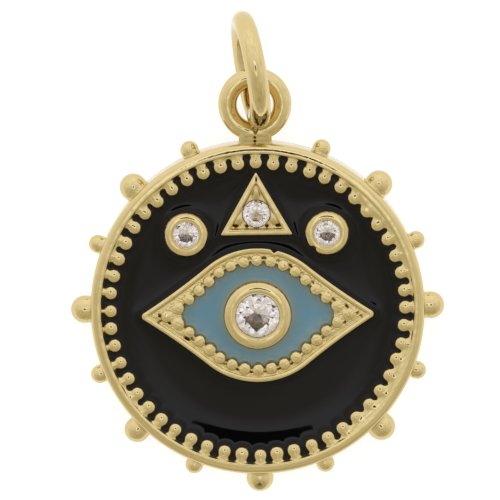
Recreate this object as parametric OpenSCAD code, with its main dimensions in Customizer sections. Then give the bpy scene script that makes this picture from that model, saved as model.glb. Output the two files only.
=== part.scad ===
// Evil eye pendant: a round enamelled medallion on a jump ring.
// It lies on its back face, z = 0, with its face up. The origin is at the middle of the
// back face, +Y points towards the bail and +X to the right of someone who looks at the face.

/* [Disc] */
// Diameter of the disc, without the balls on its edge
disc_d = 19.5; // [18:0.1:24]
// Thickness of the disc at its rim
disc_t = 2.4; // [2.2:0.05:3.2]
// Width of the rim's front face
rim_w = 0.62; // [0.4:0.01:0.9]
// Radius that rounds the rim's edges
rim_round = 0.18; // [0.05:0.01:0.2]
// Depth of the enamel pocket below the rim
pocket_depth = 1.1; // [0.7:0.05:1.3]
// Depth of the enamel's face below the rim
enamel_drop = 0.45; // [0.2:0.05:0.6]

/* [Bead row inside the rim] */
// Number of beads in the row
rim_bead_n = 52; // [36:1:56]
// Diameter of one bead
rim_bead_d = 0.72; // [0.4:0.01:0.75]
// Space between the beads and the rim, bridged by the stems
rim_bead_gap = 0.15; // [0.05:0.01:0.4]
// Width of the stem that joins a bead to the rim
stem_w = 0.48; // [0.15:0.01:0.5]
// Depth of the stems' tops below the rim
stem_drop = 0.14; // [0.1:0.01:0.3]

/* [Balls around the edge] */
// Diameter of the large balls, which stand every eighth of a turn
large_ball_d = 1.58; // [1.2:0.02:1.9]
// How far the large balls' centres lie outside the disc's edge
large_ball_out = 0.38; // [0.1:0.01:0.5]
// Diameter of the small balls between them
small_ball_d = 1.06; // [0.8:0.02:1.3]
// How far the small balls' centres lie outside the disc's edge
small_ball_out = 0.31; // [0.1:0.01:0.35]

/* [Eye] */
// Length of the eye between its points, before they are rounded
eye_len = 13.95; // [12.5:0.05:14.5]
// Height of the eye from lid to lid
eye_h = 7.88; // [7.2:0.02:8.4]
// Distance of the eye's middle below the disc's middle
eye_low = 0.32; // [0:0.01:1]
// Radius of the round middle of each lid
lid_r = 4.6; // [4.3:0.05:5]
// Radius of the slightly hollow flanks that run to the points
flank_r = 38; // [30:1:90]
// Radius that rounds the two points
point_r = 0.24; // [0.1:0.01:0.3]
// Width of the lids' flat band
lid_w = 0.76; // [0.6:0.01:0.9]
// Height of the lids above the rim's front
lid_rise = 0; // [-0.2:0.05:0.3]
// Diameter of the beads on the lids
lid_bead_d = 0.68; // [0.4:0.01:0.7]
// Number of beads on each lid, without the two at the points
lid_bead_n = 15; // [9:2:15]
// Distance of the beads' centres from the eye's outline
lid_bead_in = 0.74; // [0.5:0.01:0.9]
// Space kept between the last bead and the point of the beads' line
lid_bead_end = 0.3; // [0.2:0.01:0.7]
// How much wider the lids' band gets towards the points
lid_widen = 0.26; // [0:0.01:0.35]

/* [Stones] */
// Diameter of the stone in the eye
centre_stone_d = 2.66; // [2.2:0.02:2.9]
// Diameter of the two stones beside the triangle
side_stone_d = 1.62; // [1.3:0.02:1.8]
// Diameter of the stone in the triangle
triangle_stone_d = 1.59; // [1.3:0.02:1.7]

/* [Bezels] */
// How far a bezel's lip reaches in over its stone
bezel_lip = 0.06; // [0.03:0.01:0.12]
// Width of the centre bezel's wall, seen from the front
centre_wall = 0.72; // [0.4:0.01:0.8]
// Width of the side bezels' walls, seen from the front
side_wall = 0.52; // [0.3:0.01:0.6]
// Height of the centre bezel above the rim's front
centre_rise = 0.35; // [0.2:0.05:0.8]
// Height of the side bezels above the rim's front
side_rise = 0.2; // [0.1:0.05:0.5]
// Depth of a stone's flat table below its bezel's top
table_drop = 0.12; // [0.05:0.01:0.2]
// Distance between the two side bezels' centres
side_spread = 8.2; // [7.8:0.02:9]
// Height of the side bezels' centres above the eye's top
side_up = 0.84; // [0.6:0.02:1.3]

/* [Triangle] */
// Length of the triangle's base
triangle_w = 4.22; // [3.9:0.02:4.4]
// Height of the triangle
triangle_h = 3.7; // [3.4:0.02:3.9]
// Space between the eye's top and the triangle's base
triangle_gap = 0.77; // [0.5:0.01:1]
// Width of the triangle's flat frame
triangle_band = 0.34; // [0.25:0.01:0.4]
// Depth of the triangle's floor below its frame
triangle_sink = 0.32; // [0.2:0.01:0.4]
// Diameter of the grains that hold the stone
grain_d = 0.56; // [0.4:0.01:0.65]
// Angle between the top grain and each of the lower two, around the stone
grain_turn = 106; // [95:1:120]

/* [Bail and jump ring] */
// Diameter of the bail's round tube
bail_wire = 1.08; // [0.9:0.01:1.2]
// Diameter of the hole in the bail
bail_hole = 2.1; // [2.05:0.01:2.8]
// Distance between the bail and the disc's edge
neck_l = 0.12; // [0.05:0.01:0.6]
// Width of the neck between the bail and the disc
neck_w = 1.92; // [1.7:0.02:2.2]
// Diameter of the jump ring's wire
ring_wire = 1.2; // [0.9:0.01:1.24]
// Outer diameter of the jump ring
ring_d = 6.9; // [6.8:0.05:9]
// Angle by which the standing ring is turned, seen from above
ring_turn = 8.4; // [-15:0.1:15]
// Angle by which the standing ring leans
ring_lean = 7; // [-5:0.1:10]
// Space between the ring and the inside of the bail
ring_clear = 0.08; // [0.05:0.01:0.2]

/* [Fit] */
// Space around the enamels and the stones
fit_gap = 0.02; // [0.01:0.01:0.04]

/* [Hidden] */
$fn = 64;

// Proportions of a round brilliant, as shares of its diameter
table_share = 0.57;
crown_share = 0.15;
girdle_share = 0.03;
pavilion_share = 0.43;
star_share = 0.78;
lower_share = 0.2;

// Heights above the back face
floor_z = disc_t - pocket_depth;
enamel_z = disc_t - enamel_drop;
stem_z = disc_t - stem_drop;
lid_z = disc_t + lid_rise;
ball_z = disc_t / 2;

// The disc's radii
disc_r = disc_d / 2;
pocket_r = disc_r - rim_w;
rim_bead_r = pocket_r - rim_bead_gap - rim_bead_d / 2;

// The bezels
eye_y = -eye_low;
centre_open = centre_stone_d - 2 * bezel_lip;
centre_bezel_d = centre_open + 2 * centre_wall;
centre_top = disc_t + centre_rise;
side_open = side_stone_d - 2 * bezel_lip;
side_bezel_d = side_open + 2 * side_wall;
side_top = disc_t + side_rise;
side_y = eye_y + eye_h / 2 + side_up;

// The triangle and its stone, in the middle of its inscribed circle
triangle_y = eye_y + eye_h / 2 + triangle_gap;
triangle_leg = sqrt(pow(triangle_w / 2, 2) + pow(triangle_h, 2));
triangle_in_r = triangle_w * triangle_h / (triangle_w + 2 * triangle_leg);
triangle_stone_y = triangle_y + triangle_in_r;
triangle_floor = disc_t - triangle_sink;
triangle_girdle = triangle_floor + 0.12;
triangle_table = triangle_girdle + triangle_stone_d * crown_share;
grain_r = triangle_stone_d / 2 + 0.36 * grain_d;
apex_grain_r = triangle_stone_d / 2 + 0.7 * grain_d;

// The bail, with its tube nearly flush with the rim's front
bail_r = (bail_hole + bail_wire) / 2;
bail_y = disc_r + neck_l + bail_r + bail_wire / 2;
bail_z = disc_t - bail_wire / 2 + 0.035;
strut_r = 0.5;

// The jump ring stands on the ground and passes just clear of the hole's lower side
ring_r = (ring_d - ring_wire) / 2;
ring_z = ring_r * cos(ring_lean) + ring_wire / 2;
ring_away = ring_r + ring_wire / 2 + bail_wire / 2 + ring_clear;
ring_reach = sqrt(pow(ring_away, 2) - pow(ring_z - bail_z, 2)) - bail_r;
ring_side = 0.12;

// Outline of the eye, moved inwards by a distance. Each lid is an arc about lid_c between two
// hollow flanks about flank_c, and all these arcs keep their centres when the outline moves in.
lid_c = eye_h / 2 - lid_r;
to_point = sqrt(pow(eye_len / 2, 2) + pow(lid_c, 2));
spread = pow(to_point, 2) + pow(lid_r + flank_r, 2) - pow(flank_r, 2);
lid_end = atan2(eye_len / 2, -lid_c) - acos(spread / (2 * to_point * (lid_r + flank_r)));
flank_c = [(lid_r + flank_r) * sin(lid_end), lid_c + (lid_r + flank_r) * cos(lid_end)];
function point_x(inset, round_r) =
    flank_c.x - sqrt(pow(flank_r + inset + round_r, 2) - pow(flank_c.y, 2));
function point_angle(inset, round_r) = asin((flank_c.x - point_x(inset, round_r))
                                            / (flank_r + inset + round_r));
function lid_point(inset, a) = [(lid_r - inset) * sin(a), lid_c + (lid_r - inset) * cos(a)];
function flank_point(inset, a) = flank_c - (flank_r + inset) * [sin(a), cos(a)];
function round_point(inset, round_r, a) = [point_x(inset, round_r) + round_r * sin(a),
                                           round_r * cos(a)];
// One quarter of the outline, from the top of the upper lid to the right point. Along its
// flank it may move in further by up to widen.
function eye_quarter(inset, round_r, widen = 0) = let (
    last = point_angle(inset + widen, round_r)
) concat(
    [for (k = [0:6]) lid_point(inset, lid_end * k / 6)],
    [for (k = [1:4]) flank_point(inset + widen * k / 4, lid_end + (last - lid_end) * k / 4)],
    [for (k = [1:3]) round_point(inset + widen, round_r, last + (90 - last) * k / 3)]
);
function turned(list) = [for (k = [len(list) - 1:-1:0]) list[k]];
function eye_outline(inset, round_r, widen = 0) = let (
    q = eye_quarter(inset, round_r, widen),
    n = len(q) - 1
) concat(
    q,
    [for (k = [n - 1:-1:0]) [q[k].x, -q[k].y]],
    [for (k = [1:n]) [-q[k].x, -q[k].y]],
    [for (k = [n - 1:-1:1]) [-q[k].x, q[k].y]]
);

// Places of the beads along a lid, at equal steps from its top
bead_line_r = lid_r - lid_bead_in;
lid_run = bead_line_r * lid_end * PI / 180;
flank_run = (flank_r + lid_bead_in) * (lid_end - point_angle(lid_bead_in, 0)) * PI / 180;
lid_bead_step = (lid_run + flank_run - lid_bead_end) / ((lid_bead_n + 1) / 2);
function bead_place(s) = s <= lid_run
    ? lid_point(lid_bead_in, s / bead_line_r * 180 / PI)
    : flank_point(lid_bead_in + lid_widen * (s - lid_run) / flank_run,
                  lid_end - (s - lid_run) / (flank_r + lid_bead_in) * 180 / PI);
half_n = (lid_bead_n - 1) / 2;
// Where the blue enamel ends, just before the last pair of beads
blue_end = bead_place(half_n * lid_bead_step).x - lid_bead_d / 4;
lid_bead_places = concat(
    [for (side = [-1, 1], k = [-half_n:half_n]) let (p = bead_place(abs(k) * lid_bead_step))
        [sign(k) * p.x, eye_y + side * p.y]],
    [for (side = [-1, 1]) [side * (point_x(lid_bead_in, 0) - lid_bead_end), eye_y]]
);
rim_bead_places = [for (k = [0:rim_bead_n - 1]) rim_bead_r * [sin(360 * k / rim_bead_n),
                                                             cos(360 * k / rim_bead_n)]];

// Post with a round top, such as a bead that stands on the pocket's floor
module bead_post(d, z) {
    translate([0, 0, floor_z - 0.1])
        rotate_extrude()
            intersection() {
                union() {
                    square([d / 2, z - floor_z + 0.1]);
                    translate([0, z - floor_z + 0.1]) circle(d = d);
                }
                square([d, z - floor_z + 0.1 + d]);
            }
}

// Closed back plate with its raised and rounded rim
module disc() {
    rotate_extrude($fn = 128)
        difference() {
            union() {
                square([disc_r - rim_round, disc_t]);
                translate([0, rim_round]) square([disc_r, disc_t - 2 * rim_round]);
                for (z = [rim_round, disc_t - rim_round])
                    translate([disc_r - rim_round, z]) circle(rim_round);
            }
            translate([0, floor_z]) square([pocket_r, disc_t]);
        }
}

// Stems that join the beads to the rim
module stems(grow = 0) {
    for (k = [0:rim_bead_n - 1])
        rotate(-360 * k / rim_bead_n)
            translate([-stem_w / 2 - grow, rim_bead_r])
                square([stem_w + 2 * grow, disc_r - rim_w / 2 - rim_bead_r]);
}

module rim_beads() {
    translate([0, 0, floor_z - 0.1]) linear_extrude(stem_z - floor_z + 0.1) stems();
    for (p = rim_bead_places)
        translate(p) bead_post(rim_bead_d, enamel_z + 0.05);
}

module edge_balls() {
    for (k = [1:15]) {
        large = k % 2 == 0;
        out = large ? large_ball_out : small_ball_out;
        rotate(-22.5 * k)
            translate([0, disc_r + out, ball_z])
                sphere(d = large ? large_ball_d : small_ball_d);
    }
}

// Space inside the lids, whose ends are cut off before the last beads
module inside_lids(gap) {
    translate([0, eye_y])
        intersection() {
            polygon(eye_outline(lid_w + gap, point_r / 2, lid_widen));
            square([2 * (blue_end - gap), eye_h], center = true);
        }
}

module lids() {
    translate([0, 0, floor_z - 0.1])
        linear_extrude(lid_z - floor_z + 0.1)
            difference() {
                translate([0, eye_y]) polygon(eye_outline(0, point_r));
                inside_lids(0);
            }
    for (p = lid_bead_places)
        translate(p) bead_post(lid_bead_d, lid_z + 0.02);
}

// Round bezel with a half-round top, whose opening is cut by the stone's space
module bezel(d, wall, top) {
    translate([0, 0, floor_z - 0.1])
        rotate_extrude()
            union() {
                square([d / 2, top - wall / 2 - floor_z + 0.1]);
                square([d / 2 - wall / 2, top - floor_z + 0.1]);
                translate([(d - wall) / 2, top - wall / 2 - floor_z + 0.1]) circle(wall / 2);
            }
}

// Space for a stone: its own profile with the fit gap, and the round opening above it
module stone_space(d, girdle, open_d, top) {
    r = d / 2 + fit_gap;
    crown = (d - open_d) / (d * (1 - table_share)) * d * crown_share;
    translate([0, 0, girdle])
        rotate_extrude()
            polygon([
                [0, -d * (girdle_share + pavilion_share) - fit_gap],
                [r, -d * girdle_share - fit_gap],
                [r, fit_gap],
                [open_d / 2 + fit_gap, crown + fit_gap],
                [open_d / 2 + fit_gap, top - girdle + 1],
                [0, top - girdle + 1]
            ]);
}

module triangle_outline(inset) {
    far = triangle_h - inset * (1 + 2 * triangle_leg / triangle_w);
    half = far * triangle_w / 2 / triangle_h;
    translate([0, triangle_y + inset]) polygon([[-half, 0], [half, 0], [0, far]]);
}

module triangle_setting() {
    translate([0, 0, floor_z - 0.1])
        linear_extrude(triangle_floor - floor_z + 0.1) triangle_outline(0);
    translate([0, 0, floor_z])
        linear_extrude(disc_t - floor_z)
            difference() {
                triangle_outline(0);
                triangle_outline(triangle_band);
            }
    translate([0, triangle_stone_y])
        for (a = [0, grain_turn, -grain_turn])
            rotate(a)
                translate([0, a == 0 ? apex_grain_r : grain_r, 0])
                    bead_post(grain_d, triangle_girdle + 0.02);
}

// Loop for the jump ring, and its neck of two struts that leave a small valley between them
module bail() {
    translate([0, bail_y, bail_z]) rotate_extrude() translate([bail_r, 0]) circle(d = bail_wire);
    for (side = [-1, 1])
        translate([side * (neck_w / 2 - strut_r), disc_r - rim_w / 2, bail_z])
            rotate([-90, 0, 0])
                cylinder(r = strut_r, h = rim_w / 2 + neck_l + bail_wire * 0.55);
}

module medallion() {
    color("#d8c487")
        difference() {
            union() {
                disc();
                rim_beads();
                edge_balls();
                lids();
                triangle_setting();
                bail();
                translate([0, eye_y]) bezel(centre_bezel_d, centre_wall, centre_top);
                for (side = [-1, 1])
                    translate([side * side_spread / 2, side_y])
                        bezel(side_bezel_d, side_wall, side_top);
            }
            translate([0, eye_y])
                stone_space(centre_stone_d, centre_girdle, centre_open, centre_top);
            for (side = [-1, 1])
                translate([side * side_spread / 2, side_y])
                    stone_space(side_stone_d, side_girdle, side_open, side_top);
            translate([0, triangle_stone_y])
                stone_space(triangle_stone_d, triangle_girdle,
                            triangle_stone_d * table_share, triangle_table);
        }
}
centre_girdle = centre_top - table_drop - centre_stone_d * crown_share;
side_girdle = side_top - table_drop - side_stone_d * crown_share;

module black_enamel() {
    color("#212021")
        translate([0, 0, floor_z + fit_gap])
            linear_extrude(enamel_z - floor_z - fit_gap)
                difference() {
                    circle(pocket_r - fit_gap, $fn = 128);
                    stems(fit_gap);
                    for (p = rim_bead_places)
                        translate(p) circle(d = rim_bead_d + 2 * fit_gap);
                    translate([0, eye_y]) polygon(eye_outline(-fit_gap, point_r));
                    for (side = [-1, 1])
                        translate([side * side_spread / 2, side_y])
                            circle(d = side_bezel_d + 2 * fit_gap);
                    triangle_outline(-fit_gap);
                }
}

module blue_enamel() {
    color("#5d8392")
        translate([0, 0, floor_z + fit_gap])
            linear_extrude(enamel_z - floor_z - fit_gap)
                difference() {
                    inside_lids(fit_gap);
                    for (p = lid_bead_places)
                        translate(p) circle(d = lid_bead_d + 2 * fit_gap);
                    translate([0, eye_y]) circle(d = centre_bezel_d + 2 * fit_gap);
                }
}

// Round brilliant with its girdle's upper edge at z = 0. Kites and main facets are flat because
// the corners between them lie in the plane through the girdle and the table or the culet.
function around(r, z, a) = [r * cos(a), r * sin(a), z];
module brilliant(d) {
    r = d / 2;
    table_r = r * table_share;
    crown = d * crown_share;
    girdle = d * girdle_share;
    deep = d * pavilion_share;
    star_r = r * star_share;
    star_z = crown * (r - star_r * cos(22.5)) / (r - table_r);
    lower_r = r * lower_share;
    lower_z = -girdle - deep * (r - lower_r * cos(22.5)) / r;
    points = concat(
        [for (k = [0:7]) around(table_r, crown, 45 * k)],
        [for (k = [0:7]) around(star_r, star_z, 45 * k + 22.5)],
        [for (k = [0:15]) around(r, 0, 22.5 * k)],
        [for (k = [0:15]) around(r, -girdle, 22.5 * k)],
        [for (k = [0:7]) around(lower_r, lower_z, 45 * k + 22.5)],
        [[0, 0, -girdle - deep]]
    );
    faces = concat(
        [[for (k = [7:-1:0]) k]],
        [for (k = [0:7]) [k, (k + 1) % 8, 8 + k]],
        [for (k = [0:7]) [k, 8 + k, 16 + 2 * k, 8 + (k + 7) % 8]],
        [for (k = [0:7]) [8 + k, 16 + 2 * k + 1, 16 + 2 * k]],
        [for (k = [0:7]) [8 + k, 16 + (2 * k + 2) % 16, 16 + 2 * k + 1]],
        [for (k = [0:15]) [16 + k, 16 + (k + 1) % 16, 32 + (k + 1) % 16, 32 + k]],
        [for (k = [0:7]) [48 + k, 32 + 2 * k, 32 + 2 * k + 1]],
        [for (k = [0:7]) [48 + k, 32 + 2 * k + 1, 32 + (2 * k + 2) % 16]],
        [for (k = [0:7]) [56, 48 + (k + 7) % 8, 32 + 2 * k, 48 + k]]
    );
    polyhedron(points, faces);
}

module centre_stone() {
    color("#e8e6ea") translate([0, eye_y, centre_girdle]) brilliant(centre_stone_d);
}

module side_stone(side) {
    color("#e8e6ea")
        translate([side * side_spread / 2, side_y, side_girdle]) brilliant(side_stone_d);
}

module left_stone() side_stone(-1);
module right_stone() side_stone(1);

module triangle_stone() {
    color("#e8e6ea")
        translate([0, triangle_stone_y, triangle_girdle]) brilliant(triangle_stone_d);
}

// Closed wire ring, standing on the ground through the bail
module jump_ring() {
    color("#d8c487")
        translate([ring_side, bail_y, 0])
            rotate(ring_turn)
                translate([0, ring_reach, ring_z])
                    rotate([0, 90 + ring_lean, 0])
                        rotate_extrude() translate([ring_r, 0]) circle(d = ring_wire);
}

medallion();
black_enamel();
blue_enamel();
centre_stone();
left_stone();
right_stone();
triangle_stone();
jump_ring();
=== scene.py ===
# %% [markdown]
# # Evil eye pendant
# A small cast medallion lies on its back: a beaded rim, an almond eye with beaded lids,
# three bezels and a triangle with clear stones, and glossy black and blue enamel between
# them. A wire ring stands in its bail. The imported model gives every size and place, and each
# surface below is worked out in millimetres with numpy and made in metres, around that model.

# %% Load the frame
import math

import bpy
import numpy as np
from mathutils import Matrix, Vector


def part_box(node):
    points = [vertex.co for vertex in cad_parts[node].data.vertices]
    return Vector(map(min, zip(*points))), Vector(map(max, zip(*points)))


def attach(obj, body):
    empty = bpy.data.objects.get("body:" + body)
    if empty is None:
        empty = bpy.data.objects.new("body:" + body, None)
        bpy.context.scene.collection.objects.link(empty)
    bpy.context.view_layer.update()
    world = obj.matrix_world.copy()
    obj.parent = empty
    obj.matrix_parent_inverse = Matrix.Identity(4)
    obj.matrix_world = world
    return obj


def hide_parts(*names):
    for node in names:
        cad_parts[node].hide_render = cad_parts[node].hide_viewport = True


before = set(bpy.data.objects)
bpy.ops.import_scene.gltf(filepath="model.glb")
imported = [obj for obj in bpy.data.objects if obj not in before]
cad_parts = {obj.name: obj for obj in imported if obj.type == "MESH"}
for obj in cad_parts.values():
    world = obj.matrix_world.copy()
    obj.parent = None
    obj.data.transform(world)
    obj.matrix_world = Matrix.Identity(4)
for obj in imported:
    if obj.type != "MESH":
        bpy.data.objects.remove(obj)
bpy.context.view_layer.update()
MM = 0.001
print("nodes:", ", ".join(sorted(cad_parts)))

# %% [markdown]
# ## Sizes
# Whatever the frame can tell is read from it: the enamel's box gives the pocket, a stone's box
# gives its place and width, and the ring's box gives its place. The other values are the
# construction's own sizes in millimetres, which the surfaces share.

# %% Read the main sizes from the frame
def box_mm(node):
    """Lowest and highest corner of a node, in millimetres."""
    low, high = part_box(node)
    return np.array(low) / MM, np.array(high) / MM


def middle_and_width(node):
    """Middle of a node's box and its width along X, in millimetres."""
    low, high = box_mm(node)
    return (low + high) / 2, high[0] - low[0]


FIT = 0.02
black_low, black_high = box_mm("black_enamel")
POCKET_R = black_high[0] + FIT
ENAMEL_Z = black_high[2]
FLOOR_Z = black_low[2] - FIT
RIM_W = 0.62
DISC_R = POCKET_R + RIM_W
DISC_T = 2.4
print(f"disc radius {DISC_R:.2f} mm, pocket radius {POCKET_R:.2f} mm, enamel at {ENAMEL_Z:.2f} mm")

# %% Sizes of the bead row, the balls and the eye
RIM_BEADS, RIM_BEAD_D, RIM_BEAD_GAP = 52, 0.72, 0.15
RIM_BEAD_R = POCKET_R - RIM_BEAD_GAP - RIM_BEAD_D / 2
LARGE_BALL = {"d": 1.58, "out": 0.38}
SMALL_BALL = {"d": 1.06, "out": 0.31}
BALL_Z = DISC_T / 2
EYE_LEN, EYE_H, EYE_Y = 13.95, 7.88, -0.32
LID_R, FLANK_R, POINT_R, LID_W = 4.6, 38.0, 0.24, 0.76
LID_BEAD_D, LID_BEADS, LID_BEAD_IN, LID_BEAD_END, LID_WIDEN = 0.68, 15, 0.74, 0.3, 0.26

# %% [markdown]
# ## Helpers for surfaces
# A surface is a grid of points: rows along one parameter and columns along the other. One
# function turns such grids into a mesh, with poles closed by fans and the faces turned
# outwards, which the sign of the enclosed volume tells. Soft junctions of cast metal come from
# a smooth maximum, which rounds the crease where one height takes over from another.

# %% Smooth maximum and smooth step
def smooth_max(a, b, soft):
    """The larger of a and b, raised near their crossing by up to a quarter of soft."""
    near = np.maximum(soft - np.abs(a - b), 0)
    return np.maximum(a, b) + near * near / (4 * soft)


def smooth_min(a, b, soft):
    """The smaller of a and b, lowered near their crossing by up to a quarter of soft."""
    return -smooth_max(-a, -b, soft)


def smooth_step(value, start, end):
    """0 before start and 1 after end, with the cubic 3t^2 - 2t^3 between them."""
    t = np.clip((value - start) / (end - start), 0, 1)
    return t * t * (3 - 2 * t)


def chamfer(distance, wide):
    """Drop of an eased edge, which falls at about 40 degrees over its width."""
    return 0.8 * np.maximum(wide - distance, 0)


def around(count):
    """Angles of count columns around a full turn, without the repeated last one."""
    return np.arange(count) * 2 * np.pi / count


# %% Faces of a grid
def grid_faces(rows, cols, close_rows, start):
    """Quads between neighbouring points of a grid that closes along its columns."""
    r = np.arange(rows if close_rows else rows - 1)[:, None]
    c = np.arange(cols)[None, :]
    r2, c2 = (r + 1) % rows, (c + 1) % cols
    corners = np.broadcast_arrays(r * cols + c, r * cols + c2, r2 * cols + c2, r2 * cols + c)
    return np.stack(corners, -1).reshape(-1, 4) + start


def fan_faces(row_start, cols, pole, flip):
    """Triangles from one row of a grid to its pole."""
    a = row_start + np.arange(cols)
    b = row_start + (np.arange(cols) + 1) % cols
    ends = (b, a) if flip else (a, b)
    return np.stack([ends[0], ends[1], np.full(cols, pole)], 1)


def enclosed_volume(points, faces):
    """Sum of the signed tetrahedra from the origin to each face's fan of triangles."""
    p = points[faces]
    return sum(np.einsum("ij,ij->i", p[:, 0], np.cross(p[:, k], p[:, k + 1])).sum()
               for k in range(1, faces.shape[1] - 1))


# %% One piece from one or more grids
def build_piece(name, grids, close_rows=False, poles=(False, False), marks=None):
    """Makes a mesh object from grids of shape (rows, columns, 3) in millimetres.

    A pole closes the first or the last row around its mean point. marks holds arrays over
    the grid's points, which become attributes that the finishes read.
    """
    points, quads, tris, mark_values = [], [], [], {key: [] for key in (marks or {})}
    count = 0
    for number, grid in enumerate(grids):
        rows, cols = grid.shape[:2]
        flat = [grid.reshape(-1, 3)]
        quads.append(grid_faces(rows, cols, close_rows, count))
        size = rows * cols
        for wanted, row, flip in ((poles[0], 0, True), (poles[1], rows - 1, False)):
            if wanted:
                tris.append(fan_faces(count + row * cols, cols, count + size, flip))
                flat.append(grid[row].mean(0)[None])
                size += 1
        for key in mark_values:
            values = marks[key][number].reshape(-1)
            mark_values[key].append(np.concatenate([values, np.zeros(size - rows * cols)]))
        points.append(np.concatenate(flat))
        count += size
    points = np.concatenate(points) * MM
    quads = np.concatenate(quads)
    tris = np.concatenate(tris) if tris else np.zeros((0, 3), int)
    volume = enclosed_volume(points, quads) + (enclosed_volume(points, tris) if len(tris) else 0)
    if volume < 0:
        quads, tris = quads[:, ::-1], tris[:, ::-1]
    mesh = bpy.data.meshes.new(name)
    mesh.from_pydata(points.tolist(), [], quads.tolist() + tris.tolist())
    mesh.polygons.foreach_set("use_smooth", np.ones(len(quads) + len(tris), bool))
    for key, values in mark_values.items():
        layer = mesh.attributes.new(key, "FLOAT", "POINT")
        layer.data.foreach_set("value", np.concatenate(values).astype(np.float32))
    mesh.update()
    piece = bpy.data.objects.new(name, mesh)
    bpy.context.scene.collection.objects.link(piece)
    print(f"{name}: {len(quads) * 2 + len(tris)} triangles")
    return piece


def fit_out(piece, material, slot, *nodes):
    """Gives a piece its finish and its body, and hides the nodes it stands for. The slot is not used.
    """
    piece.data.materials.append(material)
    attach(piece, "root")
    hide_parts(*nodes)


# %% [markdown]
# ## Shader helper
# A finish is easier to read as arithmetic than as a list of nodes. The class below wraps a
# socket, and adding or multiplying two of them adds the Math node that does it. One method
# makes every other kind of node.

# %% Shader maths as expressions
class Value:
    """A socket of a node tree that takes part in Python arithmetic."""

    def __init__(self, graph, socket):
        self.graph, self.socket = graph, socket

    def maths(self, operation, first, second=None):
        values = {0: first} if second is None else {0: first, 1: second}
        return self.graph.node("ShaderNodeMath", {"operation": operation}, values)[0]

    def __add__(self, other):
        return self.maths("ADD", self, other)

    def __sub__(self, other):
        return self.maths("SUBTRACT", self, other)

    def __rsub__(self, other):
        return self.maths("SUBTRACT", other, self)

    def __mul__(self, other):
        return self.maths("MULTIPLY", self, other)

    __radd__, __rmul__ = __add__, __mul__

    def clamped(self):
        """The value held between 0 and 1."""
        return self.maths("MINIMUM", self.maths("MAXIMUM", self, 0.0), 1.0)


class Graph:
    """A node tree, emptied, in which nodes are made and linked."""

    def __init__(self, owner):
        owner.use_nodes = True
        self.tree = owner.node_tree
        self.tree.nodes.clear()

    def node(self, kind, settings=None, inputs=None):
        """Makes a node, sets its settings first, then its sockets, and returns its outputs."""
        made = self.tree.nodes.new(kind)
        for key, value in (settings or {}).items():
            setattr(made, key, value)
        for key, value in (inputs or {}).items():
            if isinstance(value, Value):
                self.tree.links.new(value.socket, made.inputs[key])
            else:
                made.inputs[key].default_value = value
        return Outputs(self, made)

    def noise(self, vector, scale, detail=2.0):
        """Noise of the given scale in waves per metre, around 0.5."""
        return self.node("ShaderNodeTexNoise", None,
                         {"Vector": vector, "Scale": scale, "Detail": detail})["Fac"]

    def mix(self, factor, first, second):
        """Colour that goes from first to second as factor goes from 0 to 1."""
        return self.node("ShaderNodeMix", {"data_type": "RGBA"},
                         {0: factor, 6: first, 7: second})[2]

    def object_place(self):
        return self.node("ShaderNodeTexCoord")["Object"]

    def mark(self, name):
        return self.node("ShaderNodeAttribute", {"attribute_name": name})["Fac"]

    def bump(self, height, strength, distance):
        return self.node("ShaderNodeBump", None,
                         {"Height": height, "Strength": strength, "Distance": distance})["Normal"]

    def finish(self, inputs):
        """Ends the tree with a Principled shader that has these values."""
        shader = self.node("ShaderNodeBsdfPrincipled", None, inputs)["BSDF"]
        self.node("ShaderNodeOutputMaterial", None, {"Surface": shader})


class Outputs:
    """The outputs of a new node, by name or number, as values."""

    def __init__(self, graph, made):
        self.graph, self.made = graph, made

    def __getitem__(self, key):
        return Value(self.graph, self.made.outputs[key])


def new_material(name):
    made = bpy.data.materials.new(name)
    return made, Graph(made)


# %% [markdown]
# ## Finishes
# The metal is a pale yellow plating over a polished casting: bright, a little soft, with the
# faint waves that polishing leaves on a small casting and rougher hollows that the wheel can't
# reach. A mark on each surface says how deep in a hollow a point lies, and there the colour is
# mixed towards dark brown: painted shade.

# %% Pale gold plating
GOLD = (0.67, 0.53, 0.25, 1)
# Dark brown for the hollows: painted shade.
PAINTED_SHADE_GOLD = (0.13, 0.07, 0.025, 1)


def make_gold():
    material, g = new_material("pale_gold_plating")
    place = g.object_place()
    waves = g.noise(place, 1200, 2.0)
    grain = g.noise(place, 9000, 2.0)
    hollow = g.mark("hollow")
    # Painted shade: the colour darkens towards dark brown as the mark rises in hollows, pits and seats.
    # The waves add a little random tone.
    colour = g.mix((hollow + (waves - 0.5) * 0.12).clamped(), GOLD, PAINTED_SHADE_GOLD)
    g.finish({
        "Base Color": colour,
        "Metallic": 1.0,
        "Roughness": (0.05 + waves * 0.1 + hollow * 0.3).clamped(),
        "Normal": g.bump(waves + grain * 0.03, 0.7, 0.00003),
    })
    return material


gold = make_gold()
print("finish:", gold.name)

# %% [markdown]
# The enamels are clear glossy resin over colour. Black is nearly black, and what it shows is
# its surroundings. Blue is greyed, a little greener and darker where it thins out against the
# metal, with faint paler streaks. Both have slow waves on top, as poured resin has.

# %% Black and blue enamel
def make_enamel(name, deep, edge, streak, streak_amount):
    material, g = new_material(name)
    place = g.object_place()
    cloud = g.noise(place, 260, 3.0)
    slow = g.noise(place, 160, 1.0)
    rim = g.mark("edge")
    base = g.mix(((cloud - 0.45) * streak_amount).clamped(), deep, streak)
    g.finish({
        "Base Color": g.mix(rim.clamped(), base, edge),
        "Roughness": 0.035,
        "IOR": 1.31,
        "Specular Tint": (1.0, 0.94, 0.86, 1),
        "Normal": g.bump(slow, 0.35, 0.00006),
    })
    return material


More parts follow.
